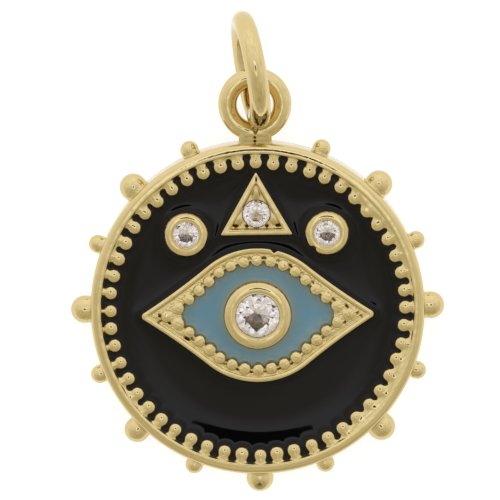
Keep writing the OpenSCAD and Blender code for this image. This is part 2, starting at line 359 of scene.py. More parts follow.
black = make_enamel("black_resin_enamel", (0.0016, 0.0016, 0.0016, 1), (0.003, 0.0015, 0.0015, 1),
                    (0.0035, 0.0035, 0.0035, 1), 1.5)
blue = make_enamel("grey_blue_resin_enamel", (0.12, 0.267, 0.362, 1), (0.33, 0.34, 0.25, 1),
                   (0.21, 0.36, 0.43, 1), 1.8)
print("finishes:", black.name, blue.name)

# %% [markdown]
# The stones are clear and cut, with an index of refraction well above glass. Light that
# enters by the crown turns back from the pavilion's facets, which is what sparkles.

# %% Clear stone
def make_stone():
    material, g = new_material("clear_cut_stone")
    g.finish({
        "Base Color": (0.73, 0.66, 0.6, 1),
        "Roughness": 0.06,
        "IOR": 1.57,
        "Transmission Weight": 1.0,
    })
    return material


stone = make_stone()
print("finish:", stone.name)

# %% [markdown]
# A round brilliant is five rings of corners and a point: table, stars, the two edges of the
# girdle, and the lower halves. Each stone is turned its own way in its setting, and its inner
# corners are a little off, so its flashes aren't regular.

# %% Cut stones
TABLE_SHARE, CROWN_SHARE, GIRDLE_SHARE, PAVILION_SHARE = 0.57, 0.15, 0.03, 0.41
STAR_SHARE, LOWER_SHARE = 0.78, 0.2
rng = np.random.default_rng(11)


def corner_ring(count, radius, z, turn, offset=0.0):
    a = turn + (np.arange(count) + offset) * 2 * np.pi / count
    return np.stack([radius * np.cos(a), radius * np.sin(a), np.full(count, z)], -1)


def brilliant_points(width, turn):
    """Corners about the girdle's upper edge. The stars and lower corners lie in the planes of
    the kites, and then move by up to about one hundredth of the width."""
    r = width / 2
    crown, girdle, deep = width * CROWN_SHARE, width * GIRDLE_SHARE, width * PAVILION_SHARE
    half = math.cos(math.pi / 8)
    star_z = crown * (1 - STAR_SHARE * half) / (1 - TABLE_SHARE)
    lower_z = -girdle - deep * (1 - LOWER_SHARE * half)
    points = np.concatenate([
        corner_ring(8, r * TABLE_SHARE, crown, turn), corner_ring(8, r * STAR_SHARE, star_z, turn, 0.5),
        corner_ring(16, r, 0, turn), corner_ring(16, r, -girdle, turn),
        corner_ring(8, r * LOWER_SHARE, lower_z, turn, 0.5), [[0, 0, -girdle - deep]]])
    points[8:16] += rng.normal(0, 0.004 * width, (8, 3))
    points[48:57] += rng.normal(0, 0.006 * width, (9, 3)) * (1, 1, 0.5)
    return points


def brilliant_faces():
    """Table, stars, kites, upper halves, girdle, lower halves and mains, eight by eight."""
    k = range(8)
    return ([list(range(7, -1, -1))]
            + [[i, (i + 1) % 8, 8 + i] for i in k]
            + [[i, 8 + i, 16 + 2 * i, 8 + (i + 7) % 8] for i in k]
            + [[8 + i, 17 + 2 * i, 16 + 2 * i] for i in k]
            + [[8 + i, 16 + (2 * i + 2) % 16, 17 + 2 * i] for i in k]
            + [[16 + i, 16 + (i + 1) % 16, 32 + (i + 1) % 16, 32 + i] for i in range(16)]
            + [[48 + i, 32 + 2 * i, 33 + 2 * i] for i in k]
            + [[48 + i, 33 + 2 * i, 32 + (2 * i + 2) % 16] for i in k]
            + [[56, 48 + (i + 7) % 8, 32 + 2 * i, 48 + i] for i in k])


def make_brilliant(node, turn):
    middle, width = middle_and_width(node)
    girdle_z = box_mm(node)[1][2] - CROWN_SHARE * width
    points = brilliant_points(width, turn) + [middle[0], middle[1], girdle_z]
    mesh = bpy.data.meshes.new("cut_" + node)
    mesh.from_pydata((points * MM).tolist(), [], [face[::-1] for face in brilliant_faces()])
    mesh.update()
    piece = bpy.data.objects.new("cut_" + node, mesh)
    bpy.context.scene.collection.objects.link(piece)
    fit_out(piece, stone, "stone", node)


for node, turn in (("centre_stone", 0.31), ("left_stone", 0.1), ("right_stone", 0.5),
                   ("triangle_stone", 0.22)):
    make_brilliant(node, turn)
print("stones cut: 4, with", len(brilliant_faces()), "facets each")

# %% [markdown]
# ## The eye's outline
# Each lid is an arc with hollow flanks that run to the points. When the outline moves in,
# every arc keeps its centre and only changes its radius, so one formula serves the outer
# edge, the bead line and the blue enamel's edge.

# %% Centres and angles of the outline's arcs
LID_C = EYE_H / 2 - LID_R
TO_POINT = math.hypot(EYE_LEN / 2, LID_C)
LID_END = math.atan2(EYE_LEN / 2, -LID_C) - math.acos(
    (TO_POINT ** 2 + (LID_R + FLANK_R) ** 2 - FLANK_R ** 2) / (2 * TO_POINT * (LID_R + FLANK_R)))
FLANK_C = ((LID_R + FLANK_R) * math.sin(LID_END), LID_C + (LID_R + FLANK_R) * math.cos(LID_END))
print(f"lid arc ends at {math.degrees(LID_END):.1f} degrees from the top")


def point_x(inset, round_r):
    """Where the centre of the rounding at a point lies, from the circle around FLANK_C."""
    return FLANK_C[0] - np.sqrt((FLANK_R + inset + round_r) ** 2 - FLANK_C[1] ** 2)


def eye_distance(x, y):
    """Signed distance to the eye's outline, negative inside: arcs as circles, by sector."""
    ax, ay = np.abs(x), np.abs(y - EYE_Y)
    to_lid = np.hypot(ax, ay - LID_C) - LID_R
    to_flank = FLANK_R - np.hypot(ax - FLANK_C[0], ay - FLANK_C[1])
    tip = point_x(0, POINT_R)
    to_tip = np.hypot(ax - tip, ay) - POINT_R
    on_lid = np.arctan2(ax, ay - LID_C) < LID_END
    past_tip = (ax - tip) * FLANK_C[1] > -ay * (FLANK_C[0] - tip)
    beyond = (ax > tip) & past_tip & (np.arctan2(ay, ax - tip) < math.pi / 2 - 0.5)
    return np.where(on_lid, to_lid, np.where(beyond, to_tip, to_flank))


# %% Points of the outline at any inset
def eye_ring(inset, round_r, per_quarter):
    """Closed outline at an inset. Each quarter has its arc, its flank and its rounded point."""
    n_lid, n_flank, n_tip = (int(per_quarter * share) for share in (0.4, 0.52, 0.08))
    xc = point_x(inset, round_r)
    last = np.arcsin((FLANK_C[0] - xc) / (FLANK_R + inset + round_r))
    a = LID_END * np.arange(n_lid) / n_lid
    b = LID_END + (last - LID_END) * np.arange(n_flank) / n_flank
    c = last + (math.pi / 2 - last) * np.arange(n_tip) / n_tip
    qx = np.concatenate([(LID_R - inset) * np.sin(a), FLANK_C[0] - (FLANK_R + inset) * np.sin(b),
                         xc + round_r * np.sin(c), [xc + round_r]])
    qy = np.concatenate([LID_C + (LID_R - inset) * np.cos(a),
                         FLANK_C[1] - (FLANK_R + inset) * np.cos(b),
                         round_r * np.cos(c), [0]])
    x = np.concatenate([qx[:-1], qx[:0:-1], -qx[:-1], -qx[:0:-1]])
    y = np.concatenate([qy[:-1], -qy[:0:-1], -qy[:-1], qy[:0:-1]])
    return x, y + EYE_Y


def lid_bead_places():
    """Bead centres at equal steps along both lids, and one bead at each point. On the flanks
    the line moves inwards by up to LID_WIDEN, because the lids get wider towards the points."""
    line_r = LID_R - LID_BEAD_IN
    run = line_r * LID_END
    tip_angle = math.acos(FLANK_C[1] / (FLANK_R + LID_BEAD_IN))
    full = run + (FLANK_R + LID_BEAD_IN) * (LID_END - tip_angle)
    step = (full - LID_BEAD_END) / ((LID_BEADS + 1) / 2)
    s = np.abs(np.arange(-(LID_BEADS // 2), LID_BEADS // 2 + 1)) * step
    sign = np.sign(np.arange(-(LID_BEADS // 2), LID_BEADS // 2 + 1))
    a = s / line_r
    b = LID_END - (s - run) / (FLANK_R + LID_BEAD_IN)
    flank = FLANK_R + LID_BEAD_IN + LID_WIDEN * (s - run) / (full - run)
    x = np.where(s <= run, line_r * np.sin(a), FLANK_C[0] - flank * np.sin(b))
    y = np.where(s <= run, LID_C + line_r * np.cos(a), FLANK_C[1] - flank * np.cos(b))
    tip = point_x(LID_BEAD_IN, 0) - LID_BEAD_END
    return (np.concatenate([sign * x, sign * x, [-tip, tip]]),
            np.concatenate([y, -y, [0, 0]]) + EYE_Y)


lid_x, lid_y = lid_bead_places()
lid_x = lid_x + rng.normal(0, 0.012, lid_x.size)
lid_y = lid_y + rng.normal(0, 0.012, lid_y.size)
lid_bead_size = LID_BEAD_D / 2 * (1 + rng.normal(0, 0.025, lid_x.size))
WIDEN_X = ((LID_R - LID_BEAD_IN) * math.sin(LID_END), point_x(LID_BEAD_IN, 0))
BLUE_END = lid_x[:LID_BEADS].max() - LID_BEAD_D / 4


def inner_edge(x):
    """Inset of the lids' inner edge, which grows along the flanks and closes at the ends."""
    t = np.clip((np.abs(x) - WIDEN_X[0]) / (WIDEN_X[1] - WIDEN_X[0]), 0, 1)
    return LID_W + LID_WIDEN * t + 9 * (np.abs(x) > BLUE_END)


print("beads on the lids:", lid_x.size)

# %% [markdown]
# ## Bead row inside the rim
# Every bead sits on a short stem that runs out to the rim. A point's angle is folded to its
# nearest bead, so one formula gives the height of all of them, and a small table of random
# shifts keeps them from being all alike. In some places, most of all on the right, metal fills
# the gaps between stems, and on the left they thin out, as bell curves over the angle describe.

# %% Heights and distances of the bead row
STEM_WIDE, FOOT = 0.5, 0.06
ROW_Z, ROW_RISE = ENAMEL_Z + 0.11, 0.26
RIM_CREST, OUTER_ROUND, INNER_ROUND = POCKET_R + 0.15, 0.2, 0.07
WEBS = ((48, 9, 0.55), (70, 12, 0.25), (113, 11, 0.42), (136, 10, 0.46), (235, 6, 0.2),
        (293, 4, 0.15), (317, 7, 0.25), (350, 5, 0.15))
THIN_STEMS = ((265, 14, 0.4),)
bead_shift = rng.normal(0, 0.018, (2, RIM_BEADS))
bead_scale = 1 + rng.normal(0, 0.03, RIM_BEADS)


def bead_dome(distance, radius, middle_z, rise):
    """Height of a worn bead: half an ellipsoid of this rise, a little flatter on top (its
    power is 2.4 instead of 2), then a steep side."""
    u = np.clip(distance / radius, 0, 0.985)
    return middle_z + rise * np.sqrt(1 - u ** 2.4) - 7 * np.maximum(distance - 0.985 * radius, 0)


def bells(turn, curves):
    """Sum of bell curves over the angle clockwise from the top: middle and width in degrees,
    and height in millimetres."""
    off = [(np.degrees(turn) - at + 180) % 360 - 180 for at, wide, high in curves]
    return sum(high * np.exp(-(o / wide) ** 2) for o, (at, wide, high) in zip(off, curves))


def rim_row(x, y):
    """Distance to the bead row in plan, negative inside: beads, stems and rim run together."""
    step = 2 * np.pi / RIM_BEADS
    turn = np.arctan2(x, y)
    number = np.round(turn / step).astype(int) % RIM_BEADS
    fold = turn - np.round(turn / step) * step
    r = np.hypot(x, y)
    across = r * np.sin(fold) - bead_shift[0][number]
    along = r * np.cos(fold) - RIM_BEAD_R - bead_shift[1][number]
    thin, web = bells(turn, THIN_STEMS), bells(turn, WEBS)
    to_stem = np.maximum(np.abs(across) - (STEM_WIDE - thin) / 2, -along)
    to_bead = np.hypot(across, along) - RIM_BEAD_D / 2 * bead_scale[number]
    return smooth_min(smooth_min(to_bead, to_stem, 0.1), POCKET_R - web - r, 0.22 - 0.42 * thin)


def rim_profile(r):
    """Height of the rim: a bowed face with its crest near the inner edge, which is a parabola,
    a large rounding outside, a small one inside, and a steep wall."""
    face = DISC_T - 0.58 * (r - RIM_CREST) ** 2
    outer = np.clip((r - (DISC_R - OUTER_ROUND)) / OUTER_ROUND, 0, 1)
    inner = np.clip((POCKET_R + INNER_ROUND - r) / INNER_ROUND, 0, 1)
    eased = OUTER_ROUND * (1 - np.sqrt(1 - 0.98 * outer ** 2))
    eased = eased + 0.1 * (1 - np.sqrt(1 - 0.98 * inner ** 2))
    return face - eased - 2.8 * np.maximum(POCKET_R - r, 0)


def rim_height(x, y):
    """Rim, stems and beads above the pocket's floor. The row is half an ellipsoid over the
    depth inside its outline, so beads are domes and stems are ridges of nearly the same height.
    Its foot is a little wider than what shows above the enamel, and it ends within the rim."""
    r = np.hypot(x, y)
    inside = FOOT - rim_row(x, y)
    reach = RIM_BEAD_D / 2 + FOOT
    row = bead_dome(reach - np.minimum(inside, reach), reach, ROW_Z, ROW_RISE)
    row = row - 4 * np.maximum(r - RIM_CREST, 0)
    return np.maximum(smooth_max(rim_profile(r), row, 0.05), FLOOR_Z)


# %% [markdown]
# ## The plate
# The back, the edge, the rim and the bead row are one surface: a profile turned around the
# middle, whose rows near the beads take their height from the formula above instead. Under the
# enamel the floor sinks towards the middle, where the large stone's point needs its room.

# %% Plate with rim and beads
def make_plate():
    columns = around(RIM_BEADS * 22)
    edge = np.linspace(0, np.pi / 2, 7)
    side_r = DISC_R - OUTER_ROUND + OUTER_ROUND * np.sin(edge)
    side_z = OUTER_ROUND - OUTER_ROUND * np.cos(edge)
    r = np.concatenate([[3.0, 6.0, 9.0], side_r, side_r[::-1][:-1],
                        np.linspace(DISC_R - OUTER_ROUND, RIM_BEAD_R - 0.5, 44), [6.0, 3.0]])
    z = np.concatenate([[0, 0, 0], side_z, (DISC_T - side_z[::-1])[:-1], np.zeros(46)])
    grid_r, turn = np.meshgrid(r, columns, indexing="ij")
    x, y = grid_r * np.sin(turn), grid_r * np.cos(turn)
    heights = np.repeat(z[:, None], columns.size, 1)
    front = 3 + edge.size + 1
    heights[front:] = rim_height(x[front:], y[front:])
    heights[front - 1] = rim_profile(DISC_R) - 0.01
    heights[-2:] = [[1.1], [0.8]]
    # Painted shade: the mark darkens the bead row's stems, gaps and feet the lower they lie towards the
    # enamel.
    low = smooth_step(ENAMEL_Z + 0.24 - heights, 0.0, 0.35) * (np.arange(r.size) >= front)[:, None]
    grid = np.stack([x, y, heights], -1)
    piece = build_piece("plate_and_rim", [grid], poles=(True, True), marks={"hollow": [low * 0.5]})
    fit_out(piece, gold, "gold", "medallion")


make_plate()

# %% [markdown]
# ## Balls around the edge
# Seven large and eight small balls stand on the disc's edge, each on a foot that flares into
# the wall. A ball is a profile around its own outward axis: a circle whose radius grows by an
# exponential flare close to the wall. The bottom ball has a small cast pit.

# %% Edge balls
PIT_PLACE, PIT_R, PIT_DEPTH = np.array([-0.03, -10.49, 1.9]), 0.21, 0.16


def edge_ball(number, rows=26, cols=44):
    """Points of one ball: sphere radius times sine, plus the flare, about the outward axis."""
    kind = LARGE_BALL if number % 2 == 0 else SMALL_BALL
    radius, out = kind["d"] / 2, kind["out"]
    scale = 1 + rng.normal(0, 0.015)
    last = math.acos(max((-0.25 - out) / radius, -0.93))
    a = np.linspace(0.06, last, rows)[:, None]
    turn = around(cols)[None, :]
    away = out + radius * scale * np.cos(a) + 0 * turn
    wide = radius * scale * np.sin(a) + 0.13 * np.exp(-np.maximum(away, 0) / 0.07)
    side, up = wide * np.cos(turn), wide * np.sin(turn)
    angle = number * np.pi / 8
    outward, across = (math.sin(angle), math.cos(angle)), (math.cos(angle), -math.sin(angle))
    reach = DISC_R + away
    grid = np.stack([reach * outward[0] + side * across[0],
                     reach * outward[1] + side * across[1], BALL_Z + up], -1)
    near = np.exp(-(np.linalg.norm(grid - PIT_PLACE, axis=-1) / PIT_R) ** 4)
    middle = np.array([outward[0] * (DISC_R + out), outward[1] * (DISC_R + out), BALL_Z])
    inward = middle - grid
    inward = inward / np.linalg.norm(inward, axis=-1, keepdims=True)
    return grid + inward * (near * PIT_DEPTH)[..., None], near


def make_balls():
    made = [edge_ball(number) for number in range(1, 16)]
    # Painted shade: the mark darkens the cast pit in the bottom ball.
    piece = build_piece("edge_balls", [grid for grid, near in made], poles=(True, True),
                        marks={"hollow": [near * 0.9 for grid, near in made]})
    fit_out(piece, gold, "gold", "medallion")


make_balls()

# %% [markdown]
# ## The lids
# The eye's frame is a flat band with a raised lip on its outer edge and beads along its inner
# one. Rows are outlines at growing insets, columns run around them, and the height is again a
# smooth maximum of band and beads. The upper lid has a small cast notch.

# %% Lids with their beads
NOTCH_X, NOTCH_W, NOTCH_DEEP = 1.0, 0.13, 0.17
POINT_PITS = ((-5.72, 0.02, 1.9, 0.12, 0.16), (-5.7, -0.3, 0.5, 0.11, 0.12),
              (-5.15, -0.42, 2.4, 0.11, 0.15), (-4.12, -1.35, -0.55, 0.19, 0.2),
              (5.82, 0.05, 0.9, 0.1, 0.14), (5.2, 0.47, 2.2, 0.13, 0.15),
              (5.08, -0.5, 0.8, 0.1, 0.12), (6.02, -0.12, 0.3, 0.08, 0.1))


def lid_pits():
    """Casting pits in the valley, as places, directions, half lengths and depths: one behind
    each gap between two beads at random depths, and a few around the beads at the points."""
    px, py, way, long, deep = (list(column) for column in zip(*POINT_PITS))
    py = [y + EYE_Y for y in py]
    for side in (slice(0, LID_BEADS), slice(LID_BEADS, 2 * LID_BEADS)):
        gap_x, gap_y = np.diff(lid_x[side]), np.diff(lid_y[side])
        span = np.hypot(gap_x, gap_y)
        out = 0.21 * np.sign(lid_y[side].mean() - EYE_Y) / span
        px.extend(lid_x[side][1:] - gap_x / 2 - gap_y * out)
        py.extend(lid_y[side][1:] - gap_y / 2 + gap_x * out)
        way.extend(np.arctan2(gap_y, gap_x) + rng.normal(0, 0.5, span.size))
        long.extend(rng.uniform(0.07, 0.12, span.size))
        deep.extend(rng.uniform(-0.04, 0.14, span.size).clip(0))
    return [np.array(values) for values in (px, py, way, long, deep)]


pit_x, pit_y, pit_way, pit_long, pit_deep = lid_pits()


def lid_height(x, y, inset):
    """A rounded lip (half an ellipse over the inset), a rough valley with pits behind it, and
    the row of beads, each taking over from the other at a smooth maximum."""
    lip = DISC_T - 0.1 + 0.14 * np.sqrt(np.maximum(1 - ((inset - 0.14) / 0.17) ** 2, 0))
    rough = np.sin(23 * x + 3 * np.sin(11 * y)) * np.sin(21 * y + 2 * np.sin(9 * x))
    valley = DISC_T - 0.12 + 0.035 * rough + 0.06 * smooth_step(inset, 0.35, 0.6)
    off_x, off_y = x[..., None] - pit_x, y[..., None] - pit_y
    along = (off_x * np.cos(pit_way) + off_y * np.sin(pit_way)) / pit_long
    across = (off_y * np.cos(pit_way) - off_x * np.sin(pit_way)) / 0.06
    pits = (np.exp(-along ** 2 - across ** 2) * pit_deep).sum(-1)
    band = smooth_max(lip, valley, 0.05) - 4 * np.maximum(inset - inner_edge(x) + 0.02, 0)
    to_beads = np.hypot(x[..., None] - lid_x, y[..., None] - lid_y)
    nearest = to_beads.argmin(-1)
    u = np.take_along_axis(to_beads, nearest[..., None], -1)[..., 0] / (0.97 * lid_bead_size[nearest])
    worn = np.sin(13 * x + 2 * np.sin(9 * y)) * np.sin(14 * y + nearest)
    cap = 0.29 * np.sqrt(np.maximum(1 - 0.8 * u * u, 0.04))
    dome = DISC_T - 0.18 + 0.015 * worn + cap - 3 * np.maximum(u - 1.08, 0)
    return smooth_max(band, dome, 0.18) - pits, pits


def lid_outline(inset):
    """Outline at an inset. The notch in the upper lid's edge fades towards the beads."""
    x, y = eye_ring(inset, max(POINT_R - 0.5 * inset, 0.05), 230)
    notch = NOTCH_DEEP * np.exp(-((x - NOTCH_X) / NOTCH_W) ** 2) * (y > EYE_Y)
    return np.stack([x, y - notch * np.clip(1 - inset / 0.5, 0, 1)], -1)


def make_lids():
    """Three rows are the outer wall, the others the face, and one more closes the underside."""
    wall_z = np.array([FLOOR_Z, ENAMEL_Z - 0.1, DISC_T - 0.06])
    first = wall_z.size
    insets = np.concatenate([np.zeros(first), np.linspace(0.004, LID_W + 0.66, 50)])
    plan = np.array([lid_outline(inset) for inset in insets])
    z, pits = np.zeros(plan.shape[:2]), np.zeros(plan.shape[:2])
    z[:first] = wall_z[:, None]
    z[first:], pits[first:] = lid_height(plan[first:, :, 0], plan[first:, :, 1], insets[first:, None])
    z = np.maximum(z, FLOOR_Z + 0.05)
    # Painted shade: the mark darkens the pits strongly, and whatever lies well below the face, such as
    # the outer wall and the beads' steep feet.
    low = np.maximum(smooth_step(DISC_T - 0.2 - z, 0.0, 0.4) * 0.5, pits * 9).clip(0, 1)
    grid = np.concatenate([plan, z[..., None]], -1)
    underside = grid[-1:] * [1, 1, 0] + [0, 0, FLOOR_Z]
    grid, low = np.concatenate([grid, underside]), np.concatenate([low, low[-1:]])
    piece = build_piece("eye_lids", [grid], close_rows=True, marks={"hollow": [low]})
    fit_out(piece, gold, "gold", "medallion")


make_lids()

# %% [markdown]
# ## Bezels
# A bezel is turned like a ring on a lathe: a wall with a rounded top, a lip that holds the
# stone, and below it the cone that the stone sits in. The profile follows the stone's own
# proportions with a small gap, and its inner end is a closed cup.

# %% Round bezels
BEZEL_LIP = 0.06


def bezel_profile(stone_d, girdle_z, wall, top):
    """Radii and heights from the foot outside, over the face, into the stone's seat.

    Across the face, u goes from 1 outside to 0 at the stone. A parabola bows it about a crest
    near the stone, both edges are eased, and a bell curve cuts a fine groove.
    """
    open_r = stone_d / 2 - BEZEL_LIP
    u = (1 - np.cos(np.linspace(np.pi, 0, 44))) / 2
    bow = 0.8 * ((u - 0.38) * wall) ** 2
    groove = 0.045 * np.exp(-((u - 0.15) / 0.05) ** 2)
    edges = chamfer((1 - u) * wall, 0.07) + chamfer(u * wall, 0.05)
    face_z = top - bow - edges - groove
    seat_r = stone_d / 2 + FIT
    deep = (GIRDLE_SHARE + PAVILION_SHARE) * stone_d
    r = np.concatenate([[open_r + wall, open_r + wall], open_r + wall * u,
                        [open_r + FIT, seat_r, seat_r, 0.04]])
    z = np.concatenate([[girdle_z - deep - 0.12, top - 0.4], face_z,
                        [girdle_z + 0.07, girdle_z + FIT, girdle_z - GIRDLE_SHARE * stone_d - FIT,
                         girdle_z - deep - 0.05]])
    return r, z


def make_bezel(name, stone_node, wall, top, notch=None):
    """Turns the profile about the stone's middle and, where wanted, dents its outer top."""
    middle, stone_d = middle_and_width(stone_node)
    girdle_z = box_mm(stone_node)[1][2] - CROWN_SHARE * stone_d
    r, z = bezel_profile(stone_d, girdle_z, wall, top)
    turn = around(160)
    grid_r, grid_turn = np.meshgrid(r, turn, indexing="ij")
    grid_z = np.repeat(z[:, None], turn.size, 1)
    hollow = np.zeros_like(grid_z)
    # Painted shade: the mark darkens the seat under the stone.
    hollow[r.size - 4:] = 0.6
    if notch is not None:
        off = np.angle(np.exp(1j * (grid_turn - notch["turn"])))
        dent = notch["deep"] * np.exp(-(off / notch["wide"]) ** 2)
        outer = (grid_r > stone_d / 2 + wall * 0.45) & (grid_z > top - wall)
        grid_r = grid_r - dent * outer
        grid_z = grid_z - 0.8 * dent * outer
        # Painted shade: the mark darkens the dent as well.
        hollow = np.maximum(hollow, outer * dent / notch["deep"] * 0.5)
    grid = np.stack([middle[0] + grid_r * np.cos(grid_turn), middle[1] + grid_r * np.sin(grid_turn),
                     grid_z], -1)
    piece = build_piece(name, [grid], poles=(True, True), marks={"hollow": [hollow]})
    fit_out(piece, gold, "gold", "medallion")


CENTRE_WALL, CENTRE_TOP, SIDE_WALL, SIDE_TOP = 0.72, DISC_T + 0.35, 0.52, DISC_T + 0.2
make_bezel("centre_bezel", "centre_stone", CENTRE_WALL, CENTRE_TOP)
make_bezel("left_bezel", "left_stone", SIDE_WALL, SIDE_TOP)
make_bezel("right_bezel", "right_stone", SIDE_WALL, SIDE_TOP,
           {"turn": math.radians(228), "wide": 0.13, "deep": 0.16})

# %% [markdown]
# ## Triangle setting
# Its rows are triangles that shrink towards the middle of the inscribed circle, with slightly
# rounded corners, so one row is the outer wall, the next the flat frame, then the slope and
# the floor. Three grains rise from the floor and lean over the stone's edge.

# %% Triangle with its grains
TRI_W, TRI_H, TRI_BAND, TRI_SINK, GRAIN_D = 4.22, 3.70, 0.34, 0.32, 0.56
TRI_LEG = math.hypot(TRI_W / 2, TRI_H)
TRI_IN = TRI_W * TRI_H / (TRI_W + 2 * TRI_LEG)
tri_middle, tri_stone_d = middle_and_width("triangle_stone")
TRI_Y = tri_middle[1] - TRI_IN
GRAINS = ((0, 1.25, 0), (1.0, -0.3, -0.5), (-1.0, -0.3, 0.5))
PITS = ((-1.2, -0.7, 0.13, 0.07), (-0.56, -0.71, 0.09, 0.07), (0.60, -0.71, 0.09, 0.07),
        (1.25, -0.69, 0.13, 0.07), (0.02, 2.02, 0.035, 0.1))


def triangle_distance(x, y):
    """Signed distance to the triangle: the largest of the distances to its three sides."""
    leg_x, leg_y = TRI_H / TRI_LEG, TRI_W / 2 / TRI_LEG
    side = np.abs(x) * leg_x + (y - TRI_Y) * leg_y - TRI_H * leg_y
    return np.maximum(side, TRI_Y - y)


def triangle_ring(columns):
    """Outline from the middle: the distance to the nearest side in each direction, with the
    corners rounded by blending the three sides with a high power mean."""
    normals = np.array([[0, -1], [TRI_H / TRI_LEG, TRI_W / 2 / TRI_LEG],
                        [-TRI_H / TRI_LEG, TRI_W / 2 / TRI_LEG]])
    way = np.stack([np.sin(columns), np.cos(columns)], -1)
    reach = np.maximum(way @ normals.T, 1e-6)
    power = 30
    blend = (reach ** power).sum(-1) ** (1 / power)
    return TRI_IN / blend


def corner_columns(per_side):
    """Angles around the middle that crowd towards the three corners."""
    corners = np.array([0, math.atan2(TRI_W / 2, -TRI_IN), 2 * np.pi - math.atan2(TRI_W / 2, -TRI_IN),
                        2 * np.pi])
    t = np.arange(per_side) / per_side
    eased = t - np.sin(2 * np.pi * t) / (2 * np.pi) * 0.85
    return np.concatenate([corners[k] + (corners[k + 1] - corners[k]) * eased for k in range(3)])


def make_triangle():
    columns = corner_columns(130)
    ring = triangle_ring(columns)
    inset = np.concatenate([[0, 0], np.linspace(0.0, 0.06, 5), np.linspace(0.09, TRI_BAND - 0.05, 6),
                            np.linspace(TRI_BAND - 0.03, TRI_IN - 0.08, 46)])
    share = 1 - inset / TRI_IN
    x = share[:, None] * ring * np.sin(columns)
    y = tri_middle[1] + share[:, None] * ring * np.cos(columns)
    slope = smooth_step(inset, TRI_BAND - 0.07, TRI_BAND + 0.07)
    frame_z = DISC_T - chamfer(inset, 0.08) - 0.6 * TRI_SINK * slope
    z = np.repeat(frame_z[:, None], columns.size, 1)
    z[0], z[1] = FLOOR_Z, DISC_T - 0.12
    # Painted shade: the mark darkens the slope down to the floor a little and the pits much more.
    hollow = np.repeat((slope * 0.12)[:, None], columns.size, 1)
    for at_x, at_y, lean in GRAINS:
        away_x, away_y = x - at_x, y - tri_middle[1] - at_y
        along = away_x * math.sin(lean) + away_y * math.cos(lean)
        across = away_x * math.cos(lean) - away_y * math.sin(lean)
        dome = DISC_T - 0.02 - 0.9 * (np.hypot(along * 0.7, across) / GRAIN_D) ** 2
        z[2:] = smooth_max(z, dome, 0.12)[2:]
    for at_x, at_y, wide, high in PITS:
        pit = np.exp(-(((x - at_x) / wide) ** 2 + ((y - tri_middle[1] - at_y) / high) ** 2))
        z[2:] = (z - 0.22 * pit)[2:]
        hollow = np.maximum(hollow, pit)
    seat_r = tri_stone_d / 2 + FIT
    off = np.hypot(x, y - tri_middle[1])
    girdle_z = box_mm("triangle_stone")[1][2] - CROWN_SHARE * tri_stone_d
    seat = girdle_z - GIRDLE_SHARE * tri_stone_d - FIT - (seat_r - off) * 2 * PAVILION_SHARE
    z = np.where((off < seat_r) & (inset[:, None] > TRI_BAND), np.minimum(z, seat), z)
    grid = np.stack([x, y, z], -1)
    piece = build_piece("triangle_setting", [grid], poles=(True, True), marks={"hollow": [hollow]})
    fit_out(piece, gold, "gold", "medallion")


make_triangle()

# %% [markdown]
# ## Bail and ring
# The bail is a round tube bent to a circle, on a short neck. Where they join, the casting has a
# V-shaped hollow and two pits. The jump ring is the same surface, larger, standing upright
# through the bail. Both are a circle carried around a circle, so one function makes them from a
# middle and two directions.

# %% Tube around a circle
def tube_ring(middle, first, second, ring_r, tube_r, rows, cols):
    """Point = middle + (R + t cos v)(first cos u + second sin u) + t sin v times their cross."""
    u, v = np.meshgrid(around(rows), around(cols), indexing="ij")
    u, v = u[..., None], v[..., None]
    out = first * np.cos(u) + second * np.sin(u)
    return middle + (ring_r + tube_r * np.cos(v)) * out + tube_r * np.sin(v) * np.cross(first, second)


BAIL_TUBE, BAIL_HOLE, NECK_W, NECK_L = 1.08, 2.1, 1.92, 0.12
BAIL_R = (BAIL_HOLE + BAIL_TUBE) / 2
BAIL_Y = DISC_R + NECK_L + BAIL_R + BAIL_TUBE / 2
BAIL_Z = DISC_T - BAIL_TUBE / 2 + 0.035
NECK_PITS, NECK_V = (DISC_R + 0.11, DISC_R + 0.34), DISC_R + 0.45
RIGHT, UP, FRONT = np.eye(3)


def neck_section(turn, y):
    """Squarish oblong, |x/w|^4 + |z/d|^4 = 1, that slopes down to the disc's edge."""
    side = np.cos(turn)
    wide = (NECK_W / 2 + 0.05 * np.exp(-np.maximum(y - DISC_R, 0) / 0.1)) * side
    rise = (0.27 + 0.27 * smooth_step(y, DISC_R - 0.05, DISC_R + 0.6)
            - 0.3 * smooth_step(y, DISC_R + 0.75, DISC_R + 1.15))
    return wide, rise * np.sign(np.sin(turn)) * np.maximum(1 - side ** 4, 0) ** 0.25


def cut_joint(grid):
    """Cuts two pits and a V, which opens from its point towards the hole, into the front, and
    returns the surface with its mark, which paints shade into the pits and the V."""
    x, y, z = np.moveaxis(grid, -1, 0)
    pits = sum(np.exp(-((x + 0.03) ** 2 + (y - at) ** 2) / 0.07 ** 2) for at in NECK_PITS)
    inside = 0.55 * (y - NECK_V) - np.abs(x - 0.02)
    v = smooth_step(inside, -0.02, 0.12) * smooth_step(DISC_R + 1.0 - y, 0, 0.15)
    seam = 0.03 * np.exp(-(x / 0.08) ** 2) * smooth_step(NECK_V + 0.1 - y, 0, 0.1)
    front = smooth_step(z, BAIL_Z, BAIL_Z + 0.15)
    cut = grid - [0, 0, 1] * ((0.15 * pits + 0.3 * v + seam) * front)[..., None]
    # Painted shade: the mark darkens the pits and the V.
    return cut, (pits * 1.2 + v * 0.25) * front


